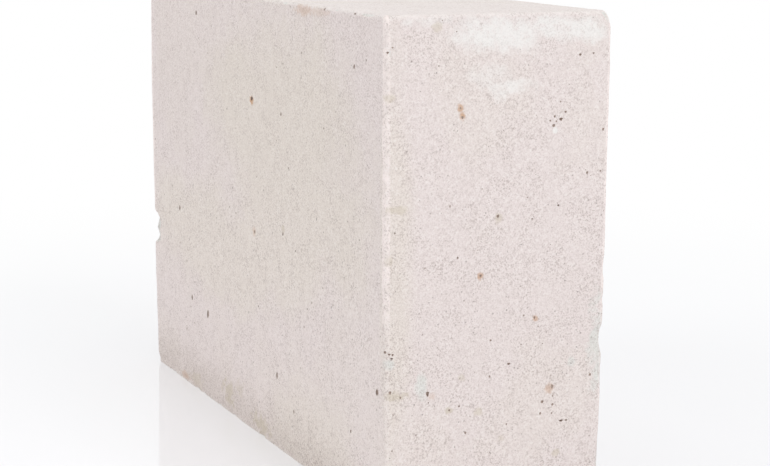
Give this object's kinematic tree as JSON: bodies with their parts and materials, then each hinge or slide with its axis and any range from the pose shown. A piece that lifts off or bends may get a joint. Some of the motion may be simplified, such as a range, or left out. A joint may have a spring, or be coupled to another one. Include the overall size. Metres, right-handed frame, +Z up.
{
  "type": "concrete foundation block",
  "caption": "Solid rectangular concrete block with eased, chipped arrises, laid in mortar for foundation and basement walls; stands on its long narrow side.",
  "frame": {"origin": "middle of the foot, the long narrow side that the block stands on", "axes": "+X along the length, +Y through the thickness, +Z up from the foot"},
  "size_m": [0.382, 0.122, 0.25],
  "materials": {
    "cast_concrete": "dry, matt, fine sandy cast concrete, pale pinkish grey, with pinholes, rust specks and white lime bloom along the top"
  },
  "bodies": {
    "root": {"foundation_block": "cast_concrete"}
  },
  "joints": []
}
